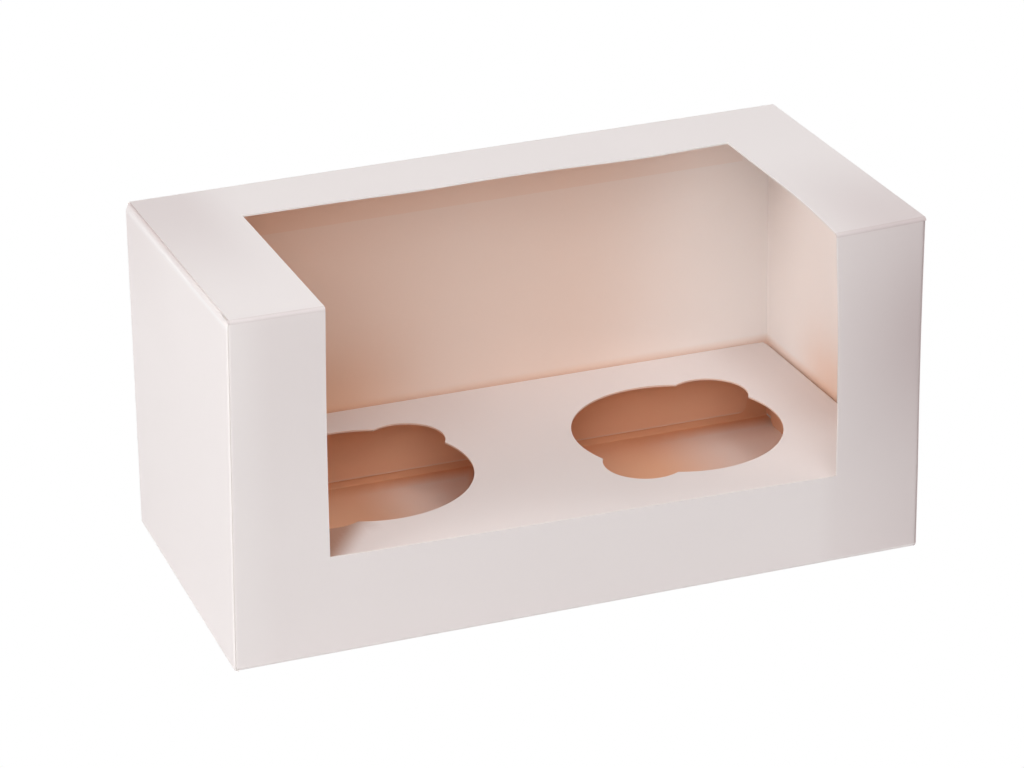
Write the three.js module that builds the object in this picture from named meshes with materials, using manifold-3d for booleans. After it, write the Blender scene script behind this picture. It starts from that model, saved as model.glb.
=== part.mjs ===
// A folded card box with a window and a two-hole insert, standing on its bottom wall.
// Units are millimetres. X runs along the box, Y from the front to the back, Z up.
// The origin is under the middle of the closed box, on the surface it stands on.
import * as THREE from "three";
import { mergeVertices } from "three/addons/utils/BufferGeometryUtils.js";
import Module from "manifold-3d";

// Outside of the closed box
const boxLength = 195;
const boxDepth = 95;
const boxHeight = 98;

// Board and folds
const board = 0.5;
const insertBoard = 0.5;
const creaseRadius = 0.4;
const slip = 0.3;

// Window, cut across the fold between the top and the front
const windowSideStrip = 25.6;
const windowBackStrip = 23.5;
const windowSill = 27.3;

// Glue flap, which hangs from the top wall behind the back wall's upper edge
const glueFlapDepth = 16;
const glueFlapTaper = 5;
const glueFlapSetback = 3;

// Dust flaps, one on each end of the front and back walls
const dustFlapReach = 47;
const dustFlapTaper = 5;
const dustFlapCorner = 4;
const dustFlapRelief = 1;

// End flaps, hinged along the ends of the bottom wall
const hingeGap = 0.2;
const endFlapSetback = 0.3;
const tongueDepth = 16;
const tongueSetback = 1.8;
const tongueCorner = 9;

// Insert: a deck with two holes on folded legs
const deckHeight = 25;
const longLegClearance = 2.5;
const legNotch = 1.5;
const legTaper = 4;
const legCorner = 2;
const holeRadius = 29.5;
const holeSpacing = 91.5;
const holeShiftBack = 2;
const notchRadius = 10;
const notchOffset = 26.9;
const notchDirection = Math.PI / 4;

// Fineness of the round stretches
const creaseSteps = 6;
const cornerSteps = 8;
const tongueSteps = 12;
const holeSteps = 36;
const notchSteps = 16;

// How far pieces of one sheet run into each other before they are joined, and how far a cutter
// runs past what it cuts
const bite = 0.2;
const past = 1;

// Values that follow from the sizes above
const halfLength = boxLength / 2;
const halfDepth = boxDepth / 2;
const outerCrease = creaseRadius + board;
const dustFlapFace = halfLength - board - slip;
const wallEnd = dustFlapFace - outerCrease;

// Directions in an outline
const right = 0;
const up = Math.PI / 2;
const left = Math.PI;
const down = -Math.PI / 2;

const wasm = await Module();
wasm.setup();

// An outline made of straight lines and arcs, as points that never repeat
class Outline {
  constructor() {
    this.points = [];
  }

  to(u, v) {
    const point = new THREE.Vector2(u, v);
    const last = this.points.at(-1);
    if (last === undefined || last.distanceTo(point) > 1e-5) {
      this.points.push(point);
    }
    return this;
  }

  arc(u, v, radius, from, to, steps = creaseSteps) {
    const curve = new THREE.EllipseCurve(u, v, radius, radius, from, to, to < from);
    curve.getPoints(steps).forEach((point) => this.to(point.x, point.y));
    return this;
  }

  // A rounded corner: a curve to an end point, pulled towards the corner
  round(cornerU, cornerV, u, v) {
    const start = this.points.at(-1);
    const corner = new THREE.Vector2(cornerU, cornerV);
    const curve = new THREE.QuadraticBezierCurve(start, corner, new THREE.Vector2(u, v));
    curve.getPoints(cornerSteps).forEach((point) => this.to(point.x, point.y));
    return this;
  }

  // The outline closed, and turned to run anticlockwise
  shape() {
    if (this.points[0].distanceTo(this.points.at(-1)) < 1e-5) {
      this.points.pop();
    }
    if (THREE.ShapeUtils.isClockWise(this.points)) {
      this.points.reverse();
    }
    return new THREE.Shape(this.points);
  }
}

function rectangle(lowU, lowV, highU, highV) {
  return new Outline().to(lowU, lowV).to(highU, lowV).to(highU, highV).to(lowU, highV).shape();
}

// A closed three.js geometry as a solid
function solidOf(geometry) {
  const bare = geometry.clone();
  bare.deleteAttribute("normal");
  bare.deleteAttribute("uv");
  const merged = mergeVertices(bare, 1e-5);
  return new wasm.Manifold(new wasm.Mesh({
    numProp: 3,
    vertProperties: new Float32Array(merged.attributes.position.array),
    triVerts: new Uint32Array(merged.index.array),
  }));
}

// A solid as a flat-shaded three.js geometry
function geometryOf(solid) {
  const mesh = solid.getMesh();
  const geometry = new THREE.BufferGeometry();
  geometry.setAttribute("position", new THREE.BufferAttribute(new Float32Array(mesh.vertProperties), 3));
  geometry.setIndex(new THREE.BufferAttribute(new Uint32Array(mesh.triVerts), 1));
  const flat = geometry.toNonIndexed();
  flat.computeVertexNormals();
  return flat;
}

function union(solids) {
  return solids.reduce((whole, solid) => whole.add(solid));
}

function extruded(shape, depth) {
  return new THREE.ExtrudeGeometry(shape, { depth, bevelEnabled: false });
}

// An outline in Y and Z, drawn out along X from one place to another
function alongX(shape, fromX, toX) {
  const turn = new THREE.Matrix4().makeBasis(
    new THREE.Vector3(0, 1, 0),
    new THREE.Vector3(0, 0, 1),
    new THREE.Vector3(1, 0, 0),
  );
  return solidOf(extruded(shape, toX - fromX).applyMatrix4(turn).translate(fromX, 0, 0));
}

// An outline in X and Z, drawn out along Y from one place to another
function alongY(shape, fromY, toY) {
  const turn = new THREE.Matrix4().makeBasis(
    new THREE.Vector3(1, 0, 0),
    new THREE.Vector3(0, 0, 1),
    new THREE.Vector3(0, -1, 0),
  );
  return solidOf(extruded(shape, toY - fromY).applyMatrix4(turn).translate(0, toY, 0));
}

// An outline in X and Y, drawn up along Z from one height to another
function alongZ(shape, fromZ, toZ) {
  return solidOf(extruded(shape, toZ - fromZ).translate(0, 0, fromZ));
}

// The sheet wrapped round the four walls, seen along X. It starts at the raw upper edge of the
// back wall and ends in the root of the glue flap, one board thickness further in.
function sleeveSection() {
  const low = outerCrease;
  const high = boxHeight - outerCrease;
  const side = halfDepth - outerCrease;
  const backSide = side - board;
  const rootEnd = high - outerCrease;
  const shape = new Outline()
    .to(halfDepth, high)
    .arc(side, low, outerCrease, right, down)
    .arc(-side, low, outerCrease, down, -left)
    .arc(-side, high, outerCrease, left, up)
    .arc(backSide, high, outerCrease, up, right)
    .shape();
  const inside = new Outline()
    .to(halfDepth - 2 * board, rootEnd)
    .to(halfDepth - board, rootEnd)
    .arc(side, low, creaseRadius, right, down)
    .arc(-side, low, creaseRadius, down, -left)
    .arc(-side, high, creaseRadius, left, up)
    .arc(backSide, high, creaseRadius, up, right)
    .shape();
  shape.holes.push(inside);
  return shape;
}

// At its ends the sleeve keeps only the top wall, out to the end, and the bottom wall, out to
// the crease of the end flap. The front and back walls turn into the dust flaps there.
function sleeve() {
  const tube = alongX(sleeveSection(), -halfLength, halfLength);
  const wallCut = rectangle(-halfDepth - past, outerCrease, halfDepth + past, boxHeight - outerCrease);
  const bottomCut = rectangle(-halfDepth - past, -past, halfDepth + past, outerCrease + past);
  const bottomEnd = halfLength - board - hingeGap;
  return tube
    .subtract(alongX(wallCut, wallEnd, halfLength + past))
    .subtract(alongX(wallCut, -halfLength - past, -wallEnd))
    .subtract(alongX(bottomCut, bottomEnd, halfLength + past))
    .subtract(alongX(bottomCut, -halfLength - past, -bottomEnd));
}

// The glued strip inside the back wall, with slanted ends that keep it out of the corners
function glueFlap() {
  const root = boxHeight - outerCrease;
  const edge = boxHeight - glueFlapDepth;
  const long = wallEnd - glueFlapSetback;
  const short = long - glueFlapTaper;
  const outline = new Outline().to(-short, edge).to(short, edge).to(long, root).to(-long, root);
  return alongY(outline.shape(), halfDepth - 2 * board, halfDepth - board + bite);
}

// One dust flap, on the end at +X of the front wall: a crease, then a sheet across the end
function dustFlap() {
  const reach = dustFlapReach - halfDepth;
  const turn = outerCrease - halfDepth;
  const sheet = new Outline()
    .to(wallEnd - bite, -halfDepth)
    .arc(wallEnd, turn, outerCrease, down, right)
    .to(dustFlapFace, reach)
    .to(dustFlapFace - board, reach)
    .arc(wallEnd, turn, creaseRadius, right, down)
    .to(wallEnd - bite, board - halfDepth);
  const low = outerCrease + dustFlapRelief;
  const high = boxHeight - 2 * board - 2 * slip - dustFlapRelief;
  const edgeLow = low + dustFlapTaper;
  const edgeHigh = high - dustFlapTaper;
  const outline = new Outline()
    .to(-halfDepth - past, low)
    .to(turn, low)
    .to(reach - dustFlapCorner, edgeLow)
    .round(reach, edgeLow, reach, edgeLow + dustFlapCorner)
    .to(reach, edgeHigh - dustFlapCorner)
    .round(reach, edgeHigh, reach - dustFlapCorner, edgeHigh)
    .to(turn, high)
    .to(-halfDepth - past, high);
  return alongZ(sheet.shape(), low, high).intersect(alongX(outline.shape(), wallEnd - past, halfLength));
}

// The window: a prism that takes the middle out of the top wall, the fold and the front wall
function windowPrism() {
  const within = 3 * outerCrease;
  const back = halfDepth - windowBackStrip;
  const outline = new Outline()
    .to(-halfDepth - past, windowSill)
    .to(-halfDepth + within, windowSill)
    .to(-halfDepth + within, boxHeight - within)
    .to(back, boxHeight - within)
    .to(back, boxHeight + past)
    .to(-halfDepth - past, boxHeight + past);
  const side = halfLength - windowSideStrip;
  return alongX(outline.shape(), -side, side);
}

function carton() {
  const frontRight = dustFlap();
  const frontLeft = frontRight.mirror([1, 0, 0]);
  const flaps = [frontRight, frontLeft, frontRight.mirror([0, 1, 0]), frontLeft.mirror([0, 1, 0])];
  return union([sleeve(), glueFlap(), ...flaps]).subtract(windowPrism());
}

// One end flap. Its hinge line is the local Y axis, its outer face looks along +X, and its
// tongue reaches back over the box. The tongue is an arc round the hinge line, so it slides
// out from under the top wall without rising.
function endFlap() {
  const pivot = board / 2;
  const tongueRadius = boxHeight - board - slip - pivot;
  const creaseX = pivot - outerCrease;
  const creaseZ = Math.sqrt((tongueRadius - outerCrease) ** 2 - creaseX ** 2);
  const creaseTurn = Math.atan2(creaseZ, creaseX);
  const tipTurn = up + Math.asin((tongueDepth - pivot) / tongueRadius);
  const panelHalf = halfDepth - endFlapSetback;
  const tongueHalf = halfDepth - tongueSetback;

  const panel = new Outline()
    .to(pivot, creaseZ)
    .to(-pivot, creaseZ)
    .arc(0, 0, pivot, -left, right);
  const tongue = new Outline()
    .to(pivot, creaseZ - bite)
    .arc(creaseX, creaseZ, outerCrease, right, creaseTurn)
    .arc(0, 0, tongueRadius, creaseTurn, tipTurn, tongueSteps)
    .arc(0, 0, tongueRadius - board, tipTurn, creaseTurn, tongueSteps)
    .arc(creaseX, creaseZ, creaseRadius, creaseTurn, right)
    .to(-pivot, creaseZ - bite);

  const tip = pivot - tongueDepth;
  const plan = new Outline()
    .to(pivot + past, -tongueHalf)
    .to(pivot + past, tongueHalf)
    .to(tip + tongueCorner, tongueHalf)
    .round(tip, tongueHalf, tip, tongueHalf - tongueCorner)
    .to(tip, tongueCorner - tongueHalf)
    .round(tip, -tongueHalf, tip + tongueCorner, -tongueHalf);
  const trimmed = alongY(tongue.shape(), -tongueHalf, tongueHalf)
    .intersect(alongZ(plan.shape(), 0, boxHeight));
  return union([alongY(panel.shape(), -panelHalf, panelHalf), trimmed]);
}

// The outline of one hole in the deck: a circle with two round finger notches, on opposite
// sides of it. Seen from the hole's centre, a notch meets the circle at notchSpread to either
// side of its own direction, and seen from the notch's centre at notchOpening.
function holeShape(x, y) {
  const along = (holeRadius ** 2 + notchOffset ** 2 - notchRadius ** 2) / (2 * notchOffset);
  const across = Math.sqrt(holeRadius ** 2 - along ** 2);
  const notchSpread = Math.atan2(across, along);
  const notchOpening = Math.atan2(across, along - notchOffset);
  const outline = new Outline();
  for (const direction of [notchDirection, notchDirection + left]) {
    const notchX = x + notchOffset * Math.cos(direction);
    const notchY = y + notchOffset * Math.sin(direction);
    outline
      .arc(notchX, notchY, notchRadius, direction - notchOpening, direction + notchOpening, notchSteps)
      .arc(x, y, holeRadius, direction + notchSpread, direction + left - notchSpread, holeSteps);
  }
  return outline.shape();
}

// A leg's outline: full width at the fold, slanted and rounded towards its lower edge
function legOutline(halfWidth, low, high) {
  const foot = halfWidth - legTaper;
  return new Outline()
    .to(-halfWidth, high)
    .to(-foot, low + legCorner)
    .round(-foot, low, legCorner - foot, low)
    .to(foot - legCorner, low)
    .round(foot, low, foot, low + legCorner)
    .to(halfWidth, high)
    .shape();
}

// A leg seen along its fold: out of the deck, round the crease and down
function legSection(edge, low) {
  const outer = creaseRadius + insertBoard;
  const turn = edge - outer;
  return new Outline()
    .to(turn - bite, deckHeight)
    .arc(turn, deckHeight - outer, outer, up, right)
    .to(edge, low)
    .to(edge - insertBoard, low)
    .arc(turn, deckHeight - outer, creaseRadius, right, up)
    .to(turn - bite, deckHeight - insertBoard)
    .shape();
}

// The insert stands on its two end legs. The long legs stop short of the floor.
function insert() {
  const edgeX = dustFlapFace - board - slip;
  const edgeY = halfDepth - board - slip;
  const deckX = edgeX - creaseRadius - insertBoard;
  const deckY = edgeY - creaseRadius - insertBoard;
  const longHalf = deckX - legNotch;
  const endHalf = deckY - legNotch;
  const top = deckHeight + past;
  const longLeg = alongX(legSection(edgeY, longLegClearance), -longHalf, longHalf)
    .intersect(alongY(legOutline(longHalf, longLegClearance, top), 0, halfDepth));
  const endLeg = alongY(legSection(edgeX, 0), -endHalf, endHalf)
    .intersect(alongX(legOutline(endHalf, 0, top), 0, halfLength));
  const deck = alongZ(rectangle(-deckX, -deckY, deckX, deckY), deckHeight - insertBoard, deckHeight);
  const legs = [longLeg, longLeg.mirror([0, 1, 0]), endLeg, endLeg.mirror([1, 0, 0])];
  const holes = [-1, 1].map((side) => {
    const outline = holeShape(side * holeSpacing / 2, holeShiftBack);
    return alongZ(outline, deckHeight - insertBoard - past, top);
  });
  return union([deck, ...legs]).subtract(union(holes));
}

function boardMaterial(color) {
  return new THREE.MeshStandardMaterial({ color, roughness: 0.78, metalness: 0 });
}

const cakeBox = new THREE.Group();

const cartonMesh = new THREE.Mesh(geometryOf(carton()), boardMaterial(0xebe3e0));
cartonMesh.name = "carton";
cakeBox.add(cartonMesh);

const hingeX = halfLength - board / 2;
const hingeZ = board / 2;

const rightFlap = new THREE.Mesh(geometryOf(endFlap()), boardMaterial(0xeee6e3));
rightFlap.name = "right_end_flap";
rightFlap.position.set(hingeX, 0, hingeZ);
cakeBox.add(rightFlap);

const leftFlap = new THREE.Mesh(geometryOf(endFlap()), boardMaterial(0xeee6e3));
leftFlap.name = "left_end_flap";
leftFlap.position.set(-hingeX, 0, hingeZ);
leftFlap.rotation.z = Math.PI;
cakeBox.add(leftFlap);

const insertMesh = new THREE.Mesh(geometryOf(insert()), boardMaterial(0xe6dad5));
insertMesh.name = "insert";
insertMesh.position.z = board;
cakeBox.add(insertMesh);

export default cakeBox;
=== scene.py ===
# %% [markdown]
# # A card box for two cup cakes
# The real thing is one sheet of folding board wrapped round four walls, with a window cut across
# the fold between the top and the front, two end flaps that tuck in, and a loose insert with two
# round holes. Each sheet is made here the way a printer makes it: a flat blank is scored and
# trimmed first, then folded up, and only at the end is it given the thickness of the board.

# %% Load the frame
import math

import bpy
import numpy as np
from mathutils import Matrix, Vector


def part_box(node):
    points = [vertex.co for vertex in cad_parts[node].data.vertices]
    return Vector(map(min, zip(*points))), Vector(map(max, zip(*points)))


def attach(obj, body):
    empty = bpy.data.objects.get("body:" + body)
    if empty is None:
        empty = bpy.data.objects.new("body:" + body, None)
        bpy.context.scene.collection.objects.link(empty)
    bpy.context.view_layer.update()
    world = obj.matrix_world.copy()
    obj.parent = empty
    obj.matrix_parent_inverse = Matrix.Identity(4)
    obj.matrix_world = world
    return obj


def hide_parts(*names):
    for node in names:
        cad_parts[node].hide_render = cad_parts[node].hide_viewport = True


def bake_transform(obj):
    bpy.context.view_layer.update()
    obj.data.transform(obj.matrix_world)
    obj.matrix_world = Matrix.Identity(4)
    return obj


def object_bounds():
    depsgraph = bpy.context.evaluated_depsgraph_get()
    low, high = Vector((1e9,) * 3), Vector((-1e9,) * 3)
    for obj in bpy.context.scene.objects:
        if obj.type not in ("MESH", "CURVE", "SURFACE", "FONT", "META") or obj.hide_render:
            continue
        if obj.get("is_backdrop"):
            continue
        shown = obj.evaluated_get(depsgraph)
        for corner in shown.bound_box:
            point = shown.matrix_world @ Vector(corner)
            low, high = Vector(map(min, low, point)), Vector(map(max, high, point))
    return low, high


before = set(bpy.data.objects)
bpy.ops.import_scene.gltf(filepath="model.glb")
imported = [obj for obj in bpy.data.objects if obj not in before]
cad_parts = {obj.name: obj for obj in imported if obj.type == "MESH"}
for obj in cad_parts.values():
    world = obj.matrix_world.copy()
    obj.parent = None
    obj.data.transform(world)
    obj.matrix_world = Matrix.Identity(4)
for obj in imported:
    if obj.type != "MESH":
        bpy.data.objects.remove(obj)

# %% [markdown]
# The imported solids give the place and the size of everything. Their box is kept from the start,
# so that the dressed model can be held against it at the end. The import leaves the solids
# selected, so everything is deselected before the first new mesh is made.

cad_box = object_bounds()
bpy.ops.object.select_all(action="DESELECT")
MM = 0.001
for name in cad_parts:
    low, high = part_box(name)
    print(name, [round(v / MM, 1) for v in (*low, *high)])

# %% [markdown]
# The camera looks down on the left front corner through a long lens, which keeps the edges
# nearly parallel. Its turn, height and tilt were worked out from the corners of the box. The
# upright edges hardly run together in the photograph, as with a shift lens, so this camera has a
# shift too. The picture is 1024 pixels wide, so the focal length follows from that width.

# %% Camera
AZIMUTH = math.radians(-18.384)
ELEVATION = math.radians(20.764)
ROLL = math.radians(-1.656)
DISTANCE = 960.6
AIM = Vector((0, 0, 50))
AIM_SIDE = 42.28
AIM_RISE = -41.62
FOCAL_PIXELS = 3514.2
PICTURE_WIDTH = 1024
SHIFT = (0.1444, -0.1628)

back = Vector((
    math.sin(AZIMUTH) * math.cos(ELEVATION),
    -math.cos(AZIMUTH) * math.cos(ELEVATION),
    math.sin(ELEVATION),
))
level_side = (-back).cross(Vector((0, 0, 1))).normalized()
level_rise = level_side.cross(-back)
side = level_side * math.cos(ROLL) + level_rise * math.sin(ROLL)
rise = level_rise * math.cos(ROLL) - level_side * math.sin(ROLL)
place = (AIM - side * AIM_SIDE - rise * AIM_RISE + back * DISTANCE) * MM

camera = bpy.data.objects.new("camera", bpy.data.cameras.new("camera"))
bpy.context.scene.collection.objects.link(camera)
camera.matrix_world = Matrix.Translation(place) @ Matrix((side, rise, back)).transposed().to_4x4()
camera.data.sensor_width = 36
camera.data.lens = FOCAL_PIXELS * camera.data.sensor_width / PICTURE_WIDTH
camera.data.shift_x, camera.data.shift_y = SHIFT
bpy.context.scene.camera = camera
print("camera at", [round(v, 3) for v in place], "with a lens of", round(camera.data.lens, 1))

# %% [markdown]
# These are the sizes of the folded box in millimetres, the same as the solids have. A crease in
# board is a small round bend: its outside has a radius of 0.9 mm and is drawn with six chords.
# A chord's length is the width of one strip in the flat blank, so the strips fold up exactly
# onto the round.

# %% Sizes
LENGTH = 195.0
DEPTH = 95.0
HEIGHT = 98.0
BOARD = 0.5
BEND = 0.9
STEPS = 6
END_X = LENGTH / 2
WALL_Y = DEPTH / 2
WINDOW_LEFT = -71.1
WINDOW_RIGHT = 72.7
WINDOW_BACK = 23.4
SILL = 27.0


def crease_width(bend=BEND):
    return STEPS * 2 * bend * math.sin(math.radians(90 / STEPS / 2))


CREASE = crease_width()
print("a crease takes", round(CREASE, 3), "mm of the blank")

# %% [markdown]
# A few helpers do what is done by hand in edit mode. `places` reads where the vertices or the
# faces of a sheet are. `pick` selects some of them and goes into edit mode. `score` cuts straight
# lines right across a flat sheet with bisect. `drop` deletes faces, and `trim` cuts along a path
# and drops what lies to the right of it, which is how slanted edges and round corners are made.

# %% Helpers for a flat sheet
def places(sheet, domain="vertices"):
    items = getattr(sheet.data, domain)
    read = np.zeros(len(items) * 3, np.float32)
    items.foreach_get("co" if domain == "vertices" else "center", read)
    return read.reshape(-1, 3).astype(float) / MM


def pick(sheet, chosen, domain="vertices"):
    bpy.context.view_layer.objects.active = sheet
    faces = domain == "polygons"
    bpy.context.tool_settings.mesh_select_mode = (not faces, False, faces)
    bpy.ops.object.mode_set(mode="EDIT")
    bpy.ops.mesh.select_all(action="DESELECT")
    bpy.ops.object.mode_set(mode="OBJECT")
    getattr(sheet.data, domain).foreach_set("select", np.asarray(chosen, bool))
    bpy.ops.object.mode_set(mode="EDIT")


def score(sheet, axis, lines):
    across = [0, 0, 0]
    across[axis] = 1
    pick(sheet, np.ones(len(sheet.data.polygons)), "polygons")
    for line in lines:
        point = [0, 0, 0]
        point[axis] = line * MM
        bpy.ops.mesh.select_all(action="SELECT")
        bpy.ops.mesh.bisect(plane_co=point, plane_no=across, threshold=1e-7)
    bpy.ops.object.mode_set(mode="OBJECT")


def score_slant(sheet, start, end):
    pick(sheet, np.ones(len(sheet.data.polygons)), "polygons")
    across = Vector((end[1] - start[1], start[0] - end[0], 0)).normalized()
    bpy.ops.mesh.bisect(plane_co=(start[0] * MM, start[1] * MM, 0), plane_no=across, threshold=1e-7)
    bpy.ops.object.mode_set(mode="OBJECT")


def drop(sheet, chosen):
    pick(sheet, chosen, "polygons")
    bpy.ops.mesh.delete(type="FACE")
    bpy.ops.object.mode_set(mode="OBJECT")


def trim(sheet, inside, path):
    for (x, y), (to_x, to_y) in zip(path, path[1:]):
        centres = places(sheet, "polygons")
        pick(sheet, inside(centres[:, 0], centres[:, 1]), "polygons")
        right_hand = Vector((to_y - y, x - to_x, 0)).normalized()
        bpy.ops.mesh.bisect(
            plane_co=(x * MM, y * MM, 0),
            plane_no=right_hand,
            clear_outer=True,
            threshold=1e-7,
        )
        bpy.ops.object.mode_set(mode="OBJECT")


# %% [markdown]
# A blank starts as one plane. Its outside faces down, because the walls fold upwards round what
# becomes the inside. `corner` gives the points of a rounded corner, and `spread` puts evenly
# spaced lines between two others.

# %% Helpers for a blank
def blank(name, low, high, level=0.0, outside_down=True):
    middle = ((low[0] + high[0]) / 2 * MM, (low[1] + high[1]) / 2 * MM, level * MM)
    bpy.ops.mesh.primitive_plane_add(size=1, enter_editmode=True, location=middle)
    bpy.ops.transform.resize(value=((high[0] - low[0]) * MM, (high[1] - low[1]) * MM, 1))
    if outside_down:
        bpy.ops.mesh.flip_normals()
    bpy.ops.object.mode_set(mode="OBJECT")
    bpy.ops.object.transform_apply()
    sheet = bpy.context.object
    sheet.name = name
    sheet.data.name = name
    return sheet


def corner(before, at, after, radius, steps=6):
    at = np.array(at, float)
    start = at + radius * (np.array(before) - at) / np.linalg.norm(np.array(before) - at)
    end = at + radius * (np.array(after) - at) / np.linalg.norm(np.array(after) - at)
    ts = np.linspace(0, 1, steps + 1)
    return [tuple((1 - t) ** 2 * start + 2 * t * (1 - t) * at + t * t * end) for t in ts]


def spread(low, high, step):
    count = max(1, round((high - low) / step))
    return list(np.linspace(low, high, count + 1)[1:-1])


# %% [markdown]
# `fold` bends everything beyond a crease by turning it a little at each line of the crease. The
# outermost fold is made first, so the line that the rest turns about is still where it was in
# the flat blank. `member` keeps a fold to part of the sheet. Without a window the rotate operator
# turns the other way, which the signs allow for.

# %% Folding
def crease_lines(start, way, bend=BEND):
    return list(np.linspace(start, start + way * crease_width(bend), STEPS + 1))


def fold(sheet, flat, start, way, axis, member=True, total=90.0, lift=1, level=0.0, bend=BEND):
    lines = crease_lines(start, way, bend)
    for step in range(STEPS, -1, -1):
        share = 0.5 if step in (0, STEPS) else 1.0
        turn(sheet, flat, lines[step], way, axis, total / STEPS * share, member, lift, level)


def turn(sheet, flat, line, way, axis, degrees, member=True, lift=1, level=0.0):
    pick(sheet, (way * (flat[:, axis] - line) > 0.01) & member)
    centre = [0, 0, level * MM]
    centre[axis] = line * MM
    sense = way * lift * (1 if axis == 0 else -1)
    bpy.ops.transform.rotate(
        value=math.radians(degrees) * sense,
        orient_axis="Y" if axis == 0 else "X",
        orient_type="GLOBAL",
        center_override=centre,
    )
    bpy.ops.object.mode_set(mode="OBJECT")


# %% [markdown]
# Two things are written on the flat blank before it is folded. A UV map keeps the flat places,
# so the grain of the board runs on round the folds. An attribute called crease marks the bent
# strips, where the coating of real board stretches and turns paler. `write_mark` writes such
# attributes, and also the marks for painted shade and painted highlight, which say where the
# board's colour is darkened or paled in place of light. `thicken` gives the board its thickness,
# with the outside, the inside and the cut edges as three materials.

# %% Helpers for a folded sheet
def write_flat(sheet, flat, creases):
    loops = np.zeros(len(sheet.data.loops), np.int32)
    sheet.data.loops.foreach_get("vertex_index", loops)
    layer = sheet.data.uv_layers.new(name="blank")
    layer.data.foreach_set("uv", (flat[loops, :2] / 100).astype(np.float32).ravel())
    bent = np.zeros(len(flat))
    for axis, start, way, member, bend in creases:
        beyond = way * (flat[:, axis] - start)
        bent = np.maximum(bent, (beyond > -0.05) & (beyond < crease_width(bend) + 0.05) & member)
    write_mark(sheet, "crease", bent)


def write_mark(sheet, name, values):
    mark = sheet.data.attributes.new(name, "FLOAT", "POINT")
    mark.data.foreach_set("value", values.astype(np.float32))


def thicken(sheet, materials, thickness=BOARD):
    for material in materials:
        sheet.data.materials.append(material)
    body = sheet.modifiers.new("board", "SOLIDIFY")
    body.thickness = thickness * MM
    body.offset = -1
    body.use_even_offset = True
    body.material_offset = 1
    body.material_offset_rim = 2
    bpy.ops.object.select_all(action="DESELECT")
    sheet.select_set(True)
    bpy.context.view_layer.objects.active = sheet
    bpy.ops.object.modifier_apply(modifier="board")
    bpy.ops.object.shade_smooth_by_angle(angle=math.radians(32))
    bpy.ops.object.select_all(action="DESELECT")
    print(sheet.name, len(sheet.data.polygons), "faces")


# %% [markdown]
# Shader maths reads best as plain expressions. This class wraps the output of a node, so that
# `a * 0.5 + 0.2` adds the Math nodes by itself. Its `node` method makes any other node from its
# type, its settings and its sockets.

# %% Shader maths
class Shade:
    def __init__(self, tree, socket=None):
        self.tree = tree
        self.socket = socket

    def node(self, kind, settings=None, sockets=None, output=0):
        made = self.tree.nodes.new(kind)
        for name, value in (settings or {}).items():
            if name == "stops":
                for stop, (at, level) in zip(made.color_ramp.elements, value):
                    stop.position = at
                    stop.color = (level, level, level, 1)
            else:
                setattr(made, name, value)
        for name, value in (sockets or {}).items():
            if isinstance(value, Shade):
                self.tree.links.new(value.socket, made.inputs[name])
            else:
                made.inputs[name].default_value = value
        return Shade(self.tree, made.outputs[output] if len(made.outputs) else None)

    def other(self, name):
        return Shade(self.tree, self.socket.node.outputs[name])

    def maths(self, operation, first, second):
        return self.node("ShaderNodeMath", {"operation": operation}, {0: first, 1: second})

    def __add__(self, other):
        return self.maths("ADD", self, other)

    def __sub__(self, other):
        return self.maths("SUBTRACT", self, other)

    def __rsub__(self, other):
        return self.maths("SUBTRACT", other, self)

    def __mul__(self, other):
        return self.maths("MULTIPLY", self, other)

    __radd__ = __add__
    __rmul__ = __mul__

    def mix(self, first, second):
        sockets = {0: self, 6: first, 7: second}
        return self.node("ShaderNodeMix", {"data_type": "RGBA"}, sockets, 2)


def new_material(name):
    material = bpy.data.materials.new(name)
    material.use_nodes = True
    material.node_tree.nodes.clear()
    return material, Shade(material.node_tree)
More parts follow.
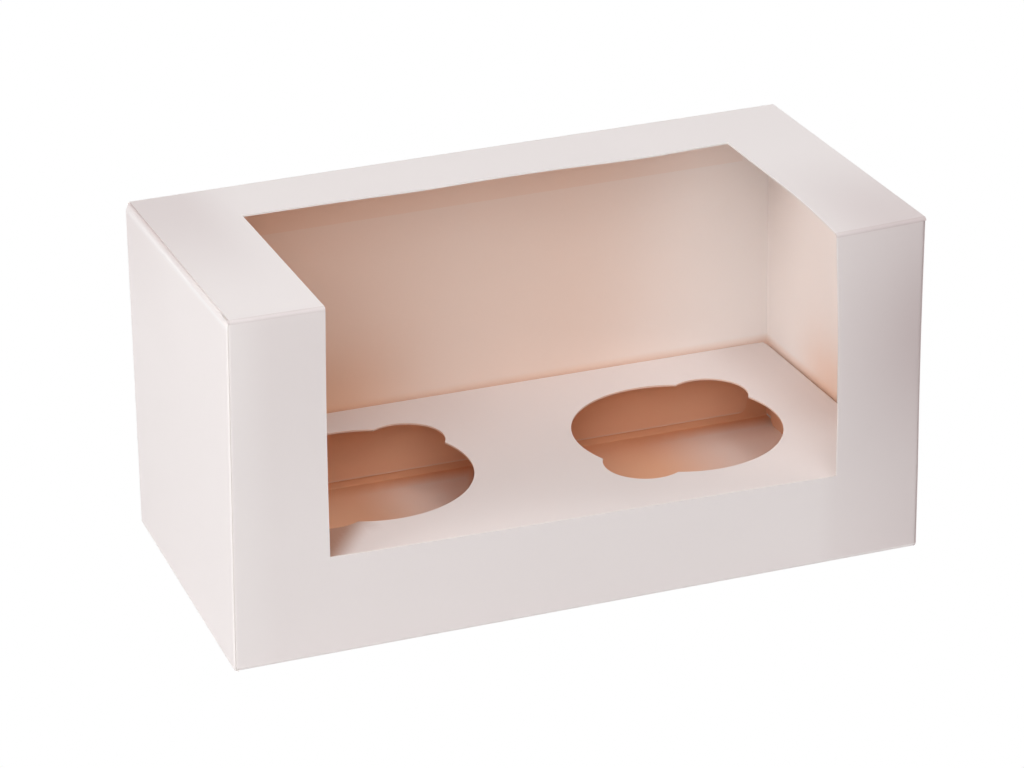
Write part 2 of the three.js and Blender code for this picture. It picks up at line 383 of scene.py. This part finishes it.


# %% [markdown]
# All the board has one build-up. Its colour drifts a little in soft clouds and in fine specks.
# Long thin noise along the blank, and some across it, stands for the fibres, and lifts the
# surface by a few thousandths of a millimetre. On the creases the coating is stretched: it is
# paler, rougher and finely cracked. The outside is coated and slightly satin, the inside is bare
# and warm, and the cut edges are soft and fibrous. The last argument names an attribute and a
# dark colour that the board turns to where the attribute is one: this is painted shade.

# %% Board finish
def board(name, colour, tint, gloss, fibre, cloud=0.02, crack=0.04, specular=0.4, painted_shade=None):
    material, shade = new_material(name)
    object_place = shade.node("ShaderNodeTexCoord", output=3)
    flat_place = shade.node("ShaderNodeUVMap", {"uv_map": "blank"})
    crease = shade.node("ShaderNodeAttribute", {"attribute_name": "crease"}, output=2)

    def noise(vector, scale, detail, stretch=None):
        if stretch:
            sockets = {"Vector": vector, "Scale": stretch}
            vector = shade.node("ShaderNodeMapping", sockets=sockets)
        sockets = {"Vector": vector, "Scale": scale, "Detail": detail, "Roughness": 0.6}
        return shade.node("ShaderNodeTexNoise", sockets=sockets)

    clouds = noise(object_place, 28, 3)
    specks = noise(object_place, 900, 2)
    along = noise(flat_place, 60, 3, (1, 14, 1))
    across = noise(flat_place, 60, 3, (14, 1.6, 1))
    fibres = along * 0.6 + across * 0.4
    cracks = noise(flat_place, 260, 2, (1, 1, 1)) * crease
    tone = (clouds - 0.5) * cloud * 2 + (specks - 0.5) * cloud + (fibres - 0.5) * fibre
    paler = shade.node("ShaderNodeMath", {"operation": "MULTIPLY", "use_clamp": True},
                       {0: crease * (cracks * 0.8 + 0.5), 1: crack})
    rgb = (tone * 8 + 0.5).mix((*tint, 1), (*colour, 1))
    # A pale mark: painted highlight on the window's cut edges; on the left flap's askew crease partly the
    # crease's own paler coating.
    highlight_and_pale_crease = shade.node("ShaderNodeAttribute", {"attribute_name": "highlight_and_pale_crease"}, output=2)
    paler = paler + highlight_and_pale_crease * 0.6
    pale = [min(1.0, c * 0.5 + 0.48) for c in colour]
    rgb = paler.mix(rgb, (*pale, 1))
    # Painted shade: where its mark is one, the board takes the given dark colour.
    if painted_shade:
        mark = shade.node("ShaderNodeAttribute", {"attribute_name": painted_shade[0]}, output=2)
        rgb = mark.mix(rgb, (*painted_shade[1], 1))
    height = fibres * 0.7 + specks * 0.3 + cracks * 1.5
    normal = shade.node(
        "ShaderNodeBump",
        sockets={"Strength": 0.35, "Distance": 0.02 * MM, "Height": height},
    )
    coat = shade.node(
        "ShaderNodeBsdfPrincipled",
        sockets={
            "Base Color": rgb,
            "Roughness": (fibres - 0.5) * 0.12 + crease * 0.15 + gloss,
            "Specular IOR Level": specular,
            "Normal": normal,
        },
    )
    shade.node("ShaderNodeOutputMaterial", sockets={"Surface": coat})
    return material


# The last colour of each finish below is the colour of its painted shade.
outside = board("coated board", (0.850, 0.793, 0.783), (0.825, 0.765, 0.755), 0.55, 0.02,
                painted_shade=("shade", (0.560, 0.465, 0.460)))
inside = board("bare board", (0.970, 0.915, 0.885), (0.950, 0.885, 0.850), 0.85, 0.06,
               specular=0.2, painted_shade=("inside_painted_shade", (0.900, 0.490, 0.285)))
edge = board("cut edge", (0.910, 0.865, 0.840), (0.880, 0.830, 0.800), 0.95, 0.08, specular=0.1,
             painted_shade=("shade", (0.560, 0.465, 0.460)))
insert_face = board("insert board", (0.868, 0.803, 0.790), (0.842, 0.775, 0.762), 0.6, 0.03,
                    painted_shade=("shade", (0.420, 0.240, 0.175)))
# The insert's cut edges are orange: painted light, for the warm light thrown between the walls inside the
# box.
insert_edge = board("insert edge", (0.900, 0.700, 0.600), (0.880, 0.670, 0.570), 0.95, 0.08,
                    specular=0.1)
finishes = [outside, inside, edge]
print(len(bpy.data.materials), "materials")

# %% [markdown]
# The carton's blank, seen from the front to the back, is the glue flap, the top wall, the front
# wall, the bottom wall and the back wall, with a crease between each two. The bottom wall lies
# where it will stand. The front and back walls carry a dust flap at each end. `up_wall` says how
# far out in the blank a height on the front or back wall lies.

# %% Carton blank
BOTTOM_Y = WALL_Y - BEND
WALL_LOW = BOTTOM_Y + CREASE
WALL_HIGH = WALL_LOW + HEIGHT - 2 * BEND
TOP_FRONT = WALL_HIGH + CREASE
TOP_BACK = TOP_FRONT + DEPTH - 2 * BEND - BOARD
GLUE_LOW = TOP_BACK + CREASE
GLUE_END = GLUE_LOW + 15.1
DUST_BEND = 0.55
DUST_FOLD_X = 96.42
DUST_X = DUST_FOLD_X + crease_width(DUST_BEND)
DUST_END = DUST_X + 46.4
DUST_LOW = 1.1
DUST_HIGH = 96.9
TOP_LEFT_X = 96.5
CORNER_X = 96.95
FLAP_JOIN = END_X - BEND


def up_wall(height):
    return WALL_LOW + height - BEND


def up_top(y):
    return TOP_FRONT + y + BOTTOM_Y


carton = blank("carton_sheet", (-DUST_END, -GLUE_END), (DUST_END, WALL_HIGH))
half_lines = [FLAP_JOIN, END_X, TOP_LEFT_X, CORNER_X, DUST_FOLD_X - 0.4, DUST_X + 0.4, DUST_X + 2]
half_lines += crease_lines(DUST_FOLD_X, 1, DUST_BEND)
half_lines += spread(WINDOW_RIGHT, DUST_FOLD_X, 2.6) + spread(DUST_X, DUST_END, 6)
window_lines = [WINDOW_LEFT, WINDOW_RIGHT, WINDOW_LEFT - 0.35, WINDOW_RIGHT + 0.35]
window_lines += spread(WINDOW_LEFT, WINDOW_RIGHT, 5)
score(carton, 0, window_lines + [way * line for line in half_lines for way in (1, -1)])
heights = [DUST_LOW, DUST_HIGH, SILL, *spread(DUST_LOW, SILL, 6), *spread(SILL, 80, 6), 80]
front_lines = [up_wall(height) for height in heights]
roll_lines = [WALL_HIGH - v for v in (0.3, 1, 1.7, 2.5, 4.2, 5.2, 6.5, 8, 10, 12.5, 15)]
roll_lines += [TOP_FRONT + v for v in (0.4, 1, 1.7, 2.5, 3.3, 4.2, 5.2, 6.5, 8, 10, 12.5, 15, 18, 22, 26)]
top_lines = [up_top(WINDOW_BACK), up_top(WINDOW_BACK) + 0.35]
top_lines += [*spread(TOP_FRONT + 26, up_top(WINDOW_BACK), 5)]
top_lines += [*spread(up_top(WINDOW_BACK), TOP_BACK, 5), TOP_BACK - 0.4]
creases = [line for start in (BOTTOM_Y, WALL_HIGH, TOP_BACK) for line in crease_lines(start, 1)]
lower = [BOTTOM_Y - 0.4, WALL_LOW + 0.4, *spread(0, BOTTOM_Y, 7)]
glue_lines = [GLUE_LOW + 0.4, GLUE_LOW + 5, GLUE_LOW + 10]
lines = creases + lower + front_lines + roll_lines + top_lines + glue_lines
score(carton, 1, [0] + [-line for line in lines])
lines = crease_lines(BOTTOM_Y, 1) + lower + front_lines
score(carton, 1, lines)
print("carton blank", len(carton.data.polygons), "faces")

# %% [markdown]
# Now the waste comes off: the ends of each wall, the window, the slanted ends of the glue flap,
# and the slanted edges and round corners of the four dust flaps. A path runs anticlockwise round
# what stays. Each trim only touches the faces of its own flap.

# %% Trim the carton
across, v, _ = places(carton, "polygons").T
x, y = np.abs(across), np.abs(v)
on_wall = (y > WALL_LOW) & (y < WALL_HIGH)
dust_rows = on_wall & (y > up_wall(DUST_LOW)) & (y < up_wall(DUST_HIGH))
top_rows = (v < -WALL_HIGH) & (v > -GLUE_LOW)
waste = on_wall & ~dust_rows & (x > CORNER_X)
front_crease = top_rows & (v > -TOP_FRONT)
waste |= top_rows & ((x > END_X) | (across < -CORNER_X))
waste |= top_rows & ~front_crease & (across < -TOP_LEFT_X)
waste |= (y < WALL_LOW) & (x > FLAP_JOIN)
waste |= (v < -GLUE_LOW) & (x > 92.8)
in_window = (across > WINDOW_LEFT) & (across < WINDOW_RIGHT)
waste |= in_window & (v < -up_wall(SILL)) & (v > -up_top(WINDOW_BACK))
drop(carton, waste)


def on_dust(cx, cy):
    return (cx > DUST_X) & (cy > WALL_LOW) & (cy < WALL_HIGH)


for way in (1, -1):
    path = [(way * 92.8, -GLUE_LOW), (way * 87.8, -GLUE_END)]
    trim(carton, lambda cx, cy: (cy < -GLUE_LOW) & (way * cx > 60), path[::-way])
    for wall in (1, -1):
        low_start, high_start = (DUST_X, up_wall(DUST_LOW)), (DUST_X, up_wall(DUST_HIGH))
        low_end, high_end = (DUST_END, up_wall(6.9)), (DUST_END, up_wall(88.2))
        shoulder = (DUST_X + 2, up_wall(93))
        path = [low_start, *corner(low_start, low_end, high_end, 4)]
        path += [*corner(low_end, high_end, shoulder, 4), shoulder]
        path = [(way * px, wall * py) for px, py in path][::way * wall]
        trim(carton, lambda cx, cy: on_dust(way * cx, wall * cy), path)
        path = [(way * px, wall * py) for px, py in (shoulder, high_start)][::way * wall]
        trim(carton, lambda cx, cy: on_dust(way * cx, wall * cy) & (way * cx < DUST_X + 2), path)
print("carton trimmed to", len(carton.data.polygons), "faces")

# %% [markdown]
# Folded card is never quite square. `settle` gives the box the shape that it has in the
# photograph: its top is a little twisted and leans in, the strip at the right droops towards the
# front fold, the back edge of the window is wavy, the sill slants a little, and the two narrow
# strips of the front wall bow.

# %% Natural shape
def bump(x, middle, width):
    return np.exp(-(((x - middle) / width) ** 2))


def ease(x, low, high):
    t = np.clip((x - low) / (high - low), 0, 1)
    return t * t * (3 - 2 * t)


def settle(sheet):
    x, y, z = places(sheet).T
    high = np.clip(z / HEIGHT, 0, 1)
    right = (x / END_X + 1) / 2
    rear = (y / WALL_Y + 1) / 2
    lift_front = -0.4 * (1 - right) - 1.45 * right
    lift_rear = -0.95 * (1 - right) + 0.8 * right
    rise = (lift_front * (1 - rear) + lift_rear * rear) * high
    shift = high * (1.5 * np.clip(-x / END_X, 0, 1) - 0.2 * np.clip(x / END_X, 0, 1))
    shift += 0.5 * ease(x, 60, 97) * (1 - rear * high)
    shift += ease(-x, 60, 97) * (1 - high) * (1.2 * rear - 0.45 * (1 - rear))

    near_right = ease(x, 40, 70) * np.clip((END_X - x) / 25, 0, 1)
    to_fold = np.clip(1 - (y + WALL_Y) / 38, 0, 1) ** 2
    rise -= 1.1 * to_fold * near_right * high ** 3
    to_window = ease(WALL_Y - y, 0, WALL_Y - WINDOW_BACK) * (y > 0)
    rise -= (0.3 * bump(x, -20, 14) + 0.6 * bump(x, 46, 18)) * to_window * high ** 12

    front = np.clip(1 - (y + WALL_Y) / 15, 0, 1) ** 2
    belly = np.sin(np.pi * np.clip((z - 24) / 72, 0, 1)) * front
    strip = np.clip((x - WINDOW_RIGHT) / (END_X - WINDOW_RIGHT), 0, 1)
    out = 1.2 * ease(x, 60, 70) - 1.7 * strip ** 2
    out -= 0.9 * np.clip((x + END_X) / (WINDOW_LEFT + END_X), 0, 1) * ease(-x, 60, 70)
    rise -= x / 72 * bump(z, SILL, 16) * ease(z, 2, 20) * front
    shift += 0.6 * near_right * to_fold * (0.4 - 2 * (z - SILL) / 70) * ease(z, 2, 24)
    moved = np.stack([x + shift, y - out * belly, z + rise], 1)
    sheet.data.vertices.foreach_set("co", (moved * MM).astype(np.float32).ravel())
    sheet.data.update()


# %% [markdown]
# The dust flaps fold first, then the glue flap, the top wall, and last the front and back walls,
# each from the far end of the blank towards the bottom wall that stays put.

# %% Fold the carton
flat = places(carton)
out = np.abs(flat[:, 1])
on_wall = (out > up_wall(DUST_LOW) - 0.01) & (out < up_wall(DUST_HIGH) + 0.01)
rest = flat[:, 1] < 1e6
write_flat(carton, flat, [
    (0, DUST_FOLD_X, 1, on_wall, DUST_BEND), (0, -DUST_FOLD_X, -1, on_wall, DUST_BEND),
    (1, -BOTTOM_Y, -1, rest, BEND), (1, -WALL_HIGH, -1, rest, BEND),
    (1, -TOP_BACK, -1, rest, BEND), (1, BOTTOM_Y, 1, rest, BEND),
])
for way in (1, -1):
    fold(carton, flat, way * DUST_FOLD_X, way, 0, on_wall, bend=DUST_BEND)
fold(carton, flat, -TOP_BACK, -1, 1)
fold(carton, flat, -WALL_HIGH, -1, 1)
fold(carton, flat, -BOTTOM_Y, -1, 1)
fold(carton, flat, BOTTOM_Y, 1, 1)
settle(carton)
folded = places(carton)
print("folded carton", folded.min(0).round(2), folded.max(0).round(2))
x, y, z = folded.T
# Painted shade on the bare inside: it turns brown where little light reaches, most under the deck and
# towards the left, on the glue flap under the top and low at the front of the right wall. Less is painted
# towards the right and on the floor right of each hole, where light falls in.
inside_painted_shade = 0.36 + 0.28 * np.clip(-x / 97, 0, 1) + 0.11 * (flat[:, 1] < -GLUE_LOW)
inside_painted_shade -= 0.36 * ease(x, 30, 92)
inside_painted_shade += 0.30 * ease(-x, 5, 40) * bump(z, 26, 18)
inside_painted_shade += 0.5 * ease(-y, -32, -5) * bump(z, 26, 14) * ease(x, 88, 95)
inside_painted_shade = np.where(z < 24, 0.95, inside_painted_shade)
under_hole = x - np.where(x < 0, -45, 45)
inside_painted_shade = np.where((z < 1) & (y < 45), 0.9 - 0.7 * ease(under_hole, 5, 35), inside_painted_shade)
write_mark(carton, "inside_painted_shade", inside_painted_shade)

# Painted shade outside: the front is a little duller except at its left edge, and much duller on the
# strip right of the window; the top is duller at its front right, its left rear and along its left edge,
# and the fold between the top and the front is darkened so that it shows no highlight.
strip = np.clip((x - 70) / 27, 0, 1)
on_front = (flat[:, 1] < -WALL_LOW) & (flat[:, 1] > -WALL_HIGH)
on_top = (flat[:, 1] < -TOP_FRONT) & (flat[:, 1] > -TOP_BACK)
front_painted_shade = (0.26 + 0.50 * strip) * ease(x, 66, 74) * (0.5 + 0.5 * bump(z, 62, 26))
front_painted_shade += (0.12 + 0.10 * ease(z, 30, 90) * (x < 0)) * ease(x, -95, -84)
top_painted_shade = 0.55 * ease(-y, -15, 47) * ease(x, 60, 90)
top_painted_shade += 0.40 * ease(y, -40, 40) * ease(-x, 66, 84)
top_painted_shade += 0.40 * (flat[:, 0] < 0.02 - TOP_LEFT_X)
on_fold = (flat[:, 1] <= -WALL_HIGH) & (flat[:, 1] >= -TOP_FRONT)
fold_painted_shade = 0.28 + 0.5 * (front_painted_shade + top_painted_shade)
write_mark(carton, "shade", front_painted_shade * on_front + top_painted_shade * on_top + fold_painted_shade * on_fold)
# Painted highlight along the window's cut edges.
rim = (flat[:, 0] > WINDOW_LEFT - 0.01) & (flat[:, 0] < WINDOW_RIGHT + 0.01)
rim &= (flat[:, 1] > -up_top(WINDOW_BACK) - 0.01) & (flat[:, 1] < 0.01 - up_wall(SILL + 1))
write_mark(carton, "highlight_and_pale_crease", rim)
thicken(carton, finishes)

# %% [markdown]
# The insert is cut from the same kind of board with its outside up: a deck with four legs. Each
# hole is round with two finger notches on opposite sides.

# %% Insert blank
DECK_Z = 24.9
DECK_X = 95.0
DECK_Y = 45.8
LEG_X = DECK_X + CREASE
LEG_Y = DECK_Y + CREASE
LEG_END_X = LEG_X + DECK_Z - BEND - BOARD - 0.03
LEG_END_Y = LEG_Y + DECK_Z - BEND - 3.0
insert = blank("insert_sheet", (-LEG_END_X, -LEG_END_Y), (LEG_END_X, LEG_END_Y), DECK_Z, False)
lines = crease_lines(DECK_X, 1) + spread(0, DECK_X, 5) + spread(LEG_X, LEG_END_X, 6)
lines += [DECK_X - 0.4, LEG_X + 0.4, DECK_X - 1.5, *spread(55, 80, 1.5)]
score(insert, 0, [0] + [way * line for line in lines for way in (1, -1)])
lines = crease_lines(DECK_Y, 1) + spread(0, DECK_Y, 5) + spread(LEG_Y, LEG_END_Y, 6)
lines += [DECK_Y - 0.4, LEG_Y + 0.4, DECK_Y - 1.5, LEG_END_Y - 0.6, *spread(15, 44, 1.5)]
score(insert, 1, [0] + [way * line for line in lines for way in (1, -1)])
x, y, _ = np.abs(places(insert, "polygons")).T
drop(insert, ((x > DECK_X) & (y > DECK_Y - 1.5)) | ((y > DECK_Y) & (x > DECK_X - 1.5)))

for way in (1, -1):
    for end in (1, -1):
        near, far = (DECK_X - 1.5, LEG_Y), (DECK_X - 5.5, LEG_END_Y)
        path = [near, *corner(near, far, (0, LEG_END_Y), 2, 4)]
        path = [(way * px, end * py) for px, py in path][::way * end]
        trim(insert, lambda cx, cy: (way * cx > 70) & (end * cy > LEG_Y), path)
        near, far = (LEG_X, DECK_Y - 1.5), (LEG_END_X, DECK_Y - 5.5)
        path = [near, *corner(near, far, (LEG_END_X, 0), 2, 4)]
        path = [(way * px, end * py) for px, py in path][::-way * end]
        trim(insert, lambda cx, cy: (way * cx > LEG_X) & (end * cy > 30), path)
print("insert blank", len(insert.data.polygons), "faces")

# %% [markdown]
# The holes are not quite in line, as the loose insert sits a little askew.
# A punch cuts each hole. It is a circle primitive whose vertices are set to the hole's outline
# and then extruded into a tube. The intersect operator cuts the tube's outline into the deck.
# The faces are split into triangles, so that each one lies clearly inside or outside the hole,
# and the tube and the waste inside it are deleted.

# %% Punch the holes
HOLE_CENTRES = ((-43.8, 3.2), (47.0, -0.4))
HOLE_RADIUS = 29.6
NOTCH_RADIUS = 11.4
NOTCH_OUT = 24.6
NOTCH_TURN = math.pi / 4

notch_x = NOTCH_OUT * math.cos(NOTCH_TURN)
notch_y = NOTCH_OUT * math.sin(NOTCH_TURN)


def in_hole(x, y):
    first = np.hypot(x - notch_x, y - notch_y) < NOTCH_RADIUS
    second = np.hypot(x + notch_x, y + notch_y) < NOTCH_RADIUS
    return (np.hypot(x, y) < HOLE_RADIUS) | first | second


def hole_outline():
    reach = HOLE_RADIUS ** 2 + NOTCH_OUT ** 2 - NOTCH_RADIUS ** 2
    meet = math.acos(reach / (2 * HOLE_RADIUS * NOTCH_OUT))
    reach = NOTCH_RADIUS ** 2 + NOTCH_OUT ** 2 - HOLE_RADIUS ** 2
    turned = math.pi - math.acos(reach / (2 * NOTCH_RADIUS * NOTCH_OUT))
    points = []
    for half in (0, math.pi):
        start = NOTCH_TURN + half
        for a in np.linspace(start - turned, start + turned, 26):
            px = NOTCH_OUT * math.cos(start) + NOTCH_RADIUS * math.cos(a)
            py = NOTCH_OUT * math.sin(start) + NOTCH_RADIUS * math.sin(a)
            points.append((px, py))
        for a in np.linspace(start + meet, start + math.pi - meet, 60)[1:-1]:
            points.append((HOLE_RADIUS * math.cos(a), HOLE_RADIUS * math.sin(a)))
    return points


outline = hole_outline()
for centre in HOLE_CENTRES:
    bpy.ops.mesh.primitive_circle_add(
        vertices=len(outline), radius=HOLE_RADIUS * MM, location=(0, 0, (DECK_Z - 2) * MM)
    )
    punch = bpy.context.object
    bpy.ops.object.transform_apply()
    for vertex, (px, py) in zip(punch.data.vertices, outline):
        vertex.co.x = (centre[0] + px) * MM
        vertex.co.y = (centre[1] + py) * MM
    pick(punch, np.ones(len(outline)))
    bpy.ops.mesh.extrude_region_move(TRANSFORM_OT_translate={"value": (0, 0, 4 * MM)})
    bpy.ops.object.mode_set(mode="OBJECT")
    insert.select_set(True)
    bpy.context.view_layer.objects.active = insert
    bpy.ops.object.join()
    normals = np.array([face.normal.z for face in insert.data.polygons])
    pick(insert, np.abs(normals) < 0.5, "polygons")
    bpy.ops.mesh.intersect(mode="SELECT_UNSELECT", separate_mode="NONE", solver="EXACT")
    bpy.ops.object.mode_set(mode="OBJECT")
    pick(insert, np.ones(len(insert.data.polygons)), "polygons")
    bpy.ops.mesh.quads_convert_to_tris()
    bpy.ops.object.mode_set(mode="OBJECT")
    middles = places(insert, "polygons")
    normals = np.array([face.normal.z for face in insert.data.polygons])
    punched = in_hole(middles[:, 0] - centre[0], middles[:, 1] - centre[1])
    drop(insert, punched | (np.abs(normals) < 0.5))
    pick(insert, np.ones(len(insert.data.vertices)))
    bpy.ops.mesh.remove_doubles(threshold=1e-6)
    bpy.ops.mesh.delete_loose()
    bpy.ops.object.mode_set(mode="OBJECT")
print("insert with holes", len(insert.data.polygons), "faces")

# %% [markdown]
# The legs fold down, so the folds turn the other way from the carton's.

# %% Fold the insert
flat = places(insert)
in_x = np.abs(flat[:, 1]) < DECK_Y
in_y = np.abs(flat[:, 0]) < DECK_X
write_flat(insert, flat, [
    (0, DECK_X, 1, in_x, BEND), (0, -DECK_X, -1, in_x, BEND),
    (1, DECK_Y, 1, in_y, BEND), (1, -DECK_Y, -1, in_y, BEND),
])
for way in (1, -1):
    fold(insert, flat, way * DECK_X, way, 0, in_x, lift=-1, level=DECK_Z)
    fold(insert, flat, way * DECK_Y, way, 1, in_y, lift=-1, level=DECK_Z)
folded = places(insert)
print("folded insert", folded.min(0).round(2), folded.max(0).round(2))
x, y = flat[:, 0], flat[:, 1]
# Painted shade on the insert: its bare underside is brown, less so at the ends of the long legs, where
# light catches them. Its top is browner at the left rear and the right rear, and a dark wedge of painted
# shadow runs from the front left corner of the window back to the left hole.
write_mark(insert, "inside_painted_shade", np.where(np.abs(y) > LEG_END_Y - 0.1, 0.5, 0.85))
aside = (x + 68.2) * 0.82 - (y + 39.8) * 0.58
insert_painted_shade = 0.3 * ease(-x, -20, 90) * ease(y, -10, 45) + 0.24 * ease(x, 70, 92) * ease(y, -30, 0)
insert_painted_shade += (1 - ease(aside, -1.5, 6.5)) * ease(-y, 14, 24) * ease(x, -82, -73)
write_mark(insert, "shade", np.clip(insert_painted_shade, 0, 1))
thicken(insert, [insert_face, inside, insert_edge])

# %% [markdown]
# An end flap is one panel with a tongue. It starts at the end of the bottom wall with its own
# crease. The tongue is bent a little more along its length, because it has to slide round the
# hinge line without catching. The left flap is folded a little askew and leans in above its
# crease, and its front edge is pressed towards the front wall.

# %% End flaps
def end_flap(name, tuck_bend, front_y, back_y, tongue_y, skew=0.0):
    panel_x = FLAP_JOIN + CREASE
    tuck_x = panel_x + HEIGHT - BOARD - 0.05 - tuck_bend - BEND
    tongue_x = tuck_x + crease_width(tuck_bend)
    tongue_end = tongue_x + 16 - tuck_bend
    flap = blank(name, (FLAP_JOIN, front_y), (tongue_end, back_y))
    lines = crease_lines(FLAP_JOIN, 1)[1:] + crease_lines(tuck_x, 1, tuck_bend)
    lines += spread(panel_x, tuck_x - 12, 6) + spread(tuck_x - 12, tuck_x, 2)
    lines += [panel_x + 0.4, tuck_x - 0.4, tongue_x + 0.4, *spread(tongue_x, tongue_end, 4)]
    score(flap, 0, lines)
    score(flap, 1, [0.35 - tongue_y, *spread(-tongue_y, tongue_y, 6), 46.8, 46.95, 47.1, 47.25])
    for way in (1, -1):
        near, far = (tongue_x, way * (tongue_y - 0.4)), (tongue_end, way * 45)
        path = [near, *corner(near, far, (tongue_end, 0), 9)]
        trim(flap, lambda cx, cy: (cx > tongue_x) & (way * cy > 20), path[::-way])
    if skew:
        for apart in (-1.5, -0.9, -0.4, 0, 0.4, 0.9, 1.5):
            score_slant(flap, (tuck_x + apart - skew, front_y), (tuck_x + apart, back_y))
    flat = places(flap)
    rest = flat[:, 1] < 1e6
    write_flat(flap, flat, [(0, FLAP_JOIN, 1, rest, BEND), (0, tuck_x, 1, rest, tuck_bend)])
    if skew:
        lower = skew * (back_y - flat[:, 1]) / (back_y - front_y)
        beyond = flat[:, 0] - tuck_x + lower
        # Along the askew crease a pale line: partly the crease's paler coating, partly painted highlight.
        write_mark(flap, "highlight_and_pale_crease", bump(beyond, 0, 0.75) * (flat[:, 0] < tuck_x + 0.05))
        lean = np.minimum(np.clip(beyond, 0, None), lower) * 0.45
        lean += 0.4 * np.clip((flat[:, 1] - 46.8) / 0.66, 0, 1) ** 2
    for bent in (10, 6, 2):
        turn(flap, flat, tongue_x + bent, 1, 0, 3)
    fold(flap, flat, tuck_x, 1, 0, total=90.5, bend=tuck_bend)
    fold(flap, flat, FLAP_JOIN, 1, 0)
    if skew:
        moved = places(flap)
        moved[:, 0] -= lean
        flap.data.vertices.foreach_set("co", (moved * MM).astype(np.float32).ravel())
    return flap


right_flap = end_flap("right_flap_sheet", 0.9, -46.96, 47.2, 46.95)
left_flap = end_flap("left_flap_sheet", 1.0, -47.2, 47.46, 47.15, skew=1.1)
pick(left_flap, np.ones(len(left_flap.data.vertices)))
bpy.ops.transform.rotate(
    value=math.pi, orient_axis="Z", orient_type="GLOBAL", center_override=(0, 0, 0)
)
bpy.ops.object.mode_set(mode="OBJECT")
for flap in (right_flap, left_flap):
    settle(flap)
    x, y, z = places(flap).T
    # Painted shade on the end flaps: their bare inside is a little brown. Outside, the left flap is
    # duller towards its top rear, most where it bends in at the top, and the right flap's front edge is
    # painted dark, as in shadow.
    write_mark(flap, "inside_painted_shade", np.where(x < 0, 0.3, 0.18))
    flap_painted_shade = 0.2 * ease(z, 60, 94) * ease(y, -10, 47)
    flap_painted_shade += 0.45 * ease(z, 95.6, 96.6) * ease(y, -40, 10)
    flap_painted_shade = np.where(x < 0, flap_painted_shade, ease(-y, 46.0, 46.4))
    write_mark(flap, "shade", flap_painted_shade)
    print(flap.name, places(flap).min(0).round(2), places(flap).max(0).round(2))
    thicken(flap, finishes)

# %% [markdown]
# Each sheet stands for its solid.

# %% Bodies
for sheet, body, node, slot in (
    (carton, "carton", "carton", "carton_board"),
    (insert, "carton", "insert", "insert_board"),
):
    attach(sheet, body)
    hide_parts(node)
for sheet, body, way in ((left_flap, "left_flap", -1), (right_flap, "right_flap", 1)):
    end = (way * END_X * MM, 0, BEND * MM)
    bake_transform(sheet)
    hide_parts(body.replace("flap", "end_flap"))

# %% [markdown]
# The floor is plain and pale. To the camera it is plain white without a shadow, like the cleared
# ground of a catalogue picture. To the box it is white paper that throws light back.

# %% Floor
bpy.ops.mesh.primitive_plane_add(size=6, location=(0, 0, -0.2 * MM))
floor = bpy.context.object
floor.name = "floor"
floor_paper, shade = new_material("white paper")
light_path = shade.node("ShaderNodeLightPath")
seen = light_path.other("Is Camera Ray") + light_path.other("Is Glossy Ray")
seen = seen + light_path.other("Is Transmission Ray")
paper = shade.node("ShaderNodeBsdfDiffuse", sockets={"Color": (0.9, 0.9, 0.9, 1)})
glow = shade.node("ShaderNodeEmission", sockets={"Color": (1, 1, 1, 1), "Strength": 1.0})
mixed = shade.node("ShaderNodeMixShader", sockets={0: seen, 1: paper, 2: glow})
shade.node("ShaderNodeOutputMaterial", sockets={"Surface": mixed})
floor.data.materials.append(floor_paper)
floor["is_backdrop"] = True

# %% [markdown]
# The light is that of a small white studio. Soft square lamps stand round the box, all turned to
# it and all a metre and a half away. Together they leave the front darker than the left side
# and the top, and reach far into the box. The sky is almost dark, but the camera
# sees it as plain white. Each lamp is placed by its direction from the front and its height, both
# in degrees.

# %% Light
def soft_lamp(name, direction, height, watts, size=0.7, distance=1.5):
    lamp = bpy.data.lights.new(name, "AREA")
    lamp.energy = watts
    lamp.shape = "SQUARE"
    lamp.size = size
    holder = bpy.data.objects.new(name, lamp)
    bpy.context.scene.collection.objects.link(holder)
    turned, raised = math.radians(direction), math.radians(height)
    flat_part = distance * math.cos(raised)
    at = Vector((
        flat_part * math.sin(turned),
        -flat_part * math.cos(turned),
        distance * math.sin(raised),
    ))
    aim = Vector((0, 0, 0.05)) - at
    facing = aim.to_track_quat("-Z", "Y").to_matrix().to_4x4()
    holder.matrix_world = Matrix.Translation(at) @ facing
    print(name, watts, "W")


soft_lamp("left side", -75, 35, 6.6)
soft_lamp("low left side", -90, 20, 2.8)
soft_lamp("left behind", -120, 30, 1.4)
soft_lamp("left above", -60, 50, 1.6)
soft_lamp("left front", -35, 25, 2.4)
soft_lamp("front", -15, 35, 3.9)
soft_lamp("front above", 0, 60, 4.6)
soft_lamp("overhead", -60, 80, 1.8)
soft_lamp("right side", 90, 40, 6.9)
soft_lamp("behind", 180, 65, 0.8)

world = bpy.data.worlds.new("studio")
bpy.context.scene.world = world
world.use_nodes = True
world.node_tree.nodes.clear()
shade = Shade(world.node_tree)
light_path = shade.node("ShaderNodeLightPath")
seen = light_path.other("Is Camera Ray") + light_path.other("Is Glossy Ray")
seen = seen + light_path.other("Is Transmission Ray")
dim = shade.node("ShaderNodeBackground", sockets={"Color": (1, 1, 1, 1), "Strength": 0.03})
bright = shade.node("ShaderNodeBackground", sockets={"Color": (1, 1, 1, 1), "Strength": 1.0})
mixed = shade.node("ShaderNodeMixShader", sockets={0: seen, 1: dim, 2: bright})
shade.node("ShaderNodeOutputWorld", sockets={"Surface": mixed})

# %% [markdown]
# Colours are shown as they are, without a film look. The box of the dressed model is written
# beside the box of the solids.

# %% Finish
bpy.context.scene.view_settings.view_transform = "Standard"
boxes = [[list(corner_point) for corner_point in box] for box in (cad_box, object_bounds())]
print("solids and dressed model, in mm:", [[round(v / MM, 2) for p in box for v in p] for box in boxes])
